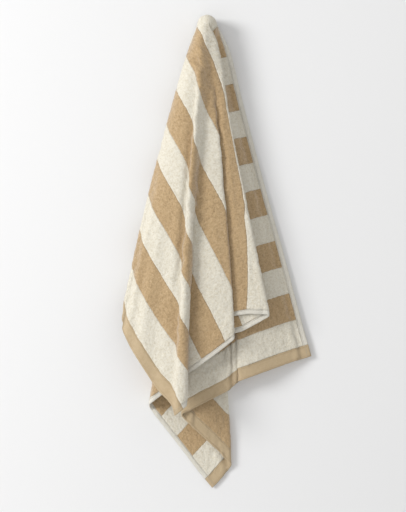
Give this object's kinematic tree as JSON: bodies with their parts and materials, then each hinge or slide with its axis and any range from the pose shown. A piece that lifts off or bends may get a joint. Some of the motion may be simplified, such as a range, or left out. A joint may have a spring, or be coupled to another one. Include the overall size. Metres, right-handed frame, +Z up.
{
  "type": "bath towel",
  "caption": "Striped terry bath towel in cream and tan with flat-woven header hems, hung by one long edge over a round peg so that it falls in soft pleats.",
  "frame": {"origin": "on the axis of the pocket that the cloth makes over the peg, at the centre of the pocket's rounded end", "axes": "+X to the right, +Y back towards the wall that carries the peg and out of the pocket's mouth, +Z up"},
  "size_m": [0.4011, 0.0936, 1.0279],
  "materials": {
    "cream_terry": "looped cotton pile, matt",
    "tan_terry": "looped cotton pile, matt",
    "header_weave": "flat-woven cotton, matt",
    "side_hem": "flat-woven cotton, turned and stitched"
  },
  "bodies": {
    "root": {"crown": "cream_terry", "cream_band_01": "cream_terry", "cream_band_02": "cream_terry", "cream_band_03": "cream_terry", "cream_band_04": "cream_terry", "cream_band_05": "cream_terry", "cream_band_06": "cream_terry", "cream_band_07": "cream_terry", "cream_band_08": "cream_terry", "cream_band_09": "cream_terry", "cream_band_10": "cream_terry", "cream_band_11": "cream_terry", "tan_band_01": "tan_terry", "tan_band_02": "tan_terry", "tan_band_03": "tan_terry", "tan_band_04": "tan_terry", "tan_band_05": "tan_terry", "tan_band_06": "tan_terry", "tan_band_07": "tan_terry", "tan_band_08": "tan_terry", "tan_band_09": "tan_terry", "tan_band_10": "tan_terry", "front_header": "header_weave", "back_header": "header_weave", "near_side_hem": "side_hem", "far_side_hem": "side_hem"}
  },
  "joints": []
}
